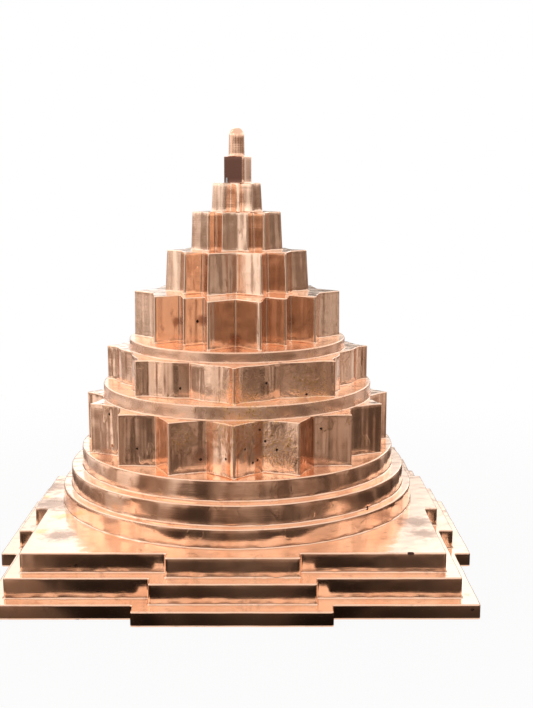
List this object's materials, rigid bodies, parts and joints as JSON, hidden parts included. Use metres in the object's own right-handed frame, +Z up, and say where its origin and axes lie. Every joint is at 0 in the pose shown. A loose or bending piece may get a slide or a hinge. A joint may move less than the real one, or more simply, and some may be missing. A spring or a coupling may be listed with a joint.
{
  "type": "stepped copper meru yantra",
  "caption": "Stepped ritual mountain of polished copper: a gated square base, round girdles, two lotuses and star tiers under a small domed finial.",
  "frame": {"origin": "middle of the underside, on the surface that it stands on", "axes": "+Z up through the finial; -Y is the front; +X is to the right seen from the front, along the long axis of the star tiers"},
  "size_m": [0.163, 0.163, 0.151],
  "materials": {
    "base_copper": "cast copper, hand filed and polished, rose brown with light oxide blotches",
    "girdle_copper": "turned copper, polished, with fine marks around it",
    "lotus_copper": "cast copper, filed and polished, with small pits and scratches",
    "polished_copper": "polished copper with fine level tool marks and small pinholes",
    "steel_fixing": "plain machined steel"
  },
  "bodies": {
    "root": {"base_plate_lower": "base_copper", "base_plate_middle": "base_copper", "base_plate_upper": "base_copper", "girdle_ring_lower": "girdle_copper", "girdle_ring_middle": "girdle_copper", "girdle_ring_upper": "girdle_copper", "lotus_sixteen": "lotus_copper", "seat_ring_eight": "lotus_copper", "lotus_eight": "lotus_copper", "seat_ring_star": "lotus_copper", "star_fourteen": "polished_copper", "star_ten_outer": "polished_copper", "star_ten_inner": "polished_copper", "star_eight": "polished_copper", "triangle_block": "polished_copper", "bindu_finial": "polished_copper", "tie_rod": "steel_fixing", "rod_nut": "steel_fixing", "rod_washer": "steel_fixing", "base_screws": "steel_fixing", "top_stud": "steel_fixing", "locating_dowels": "steel_fixing"}
  },
  "joints": []
}
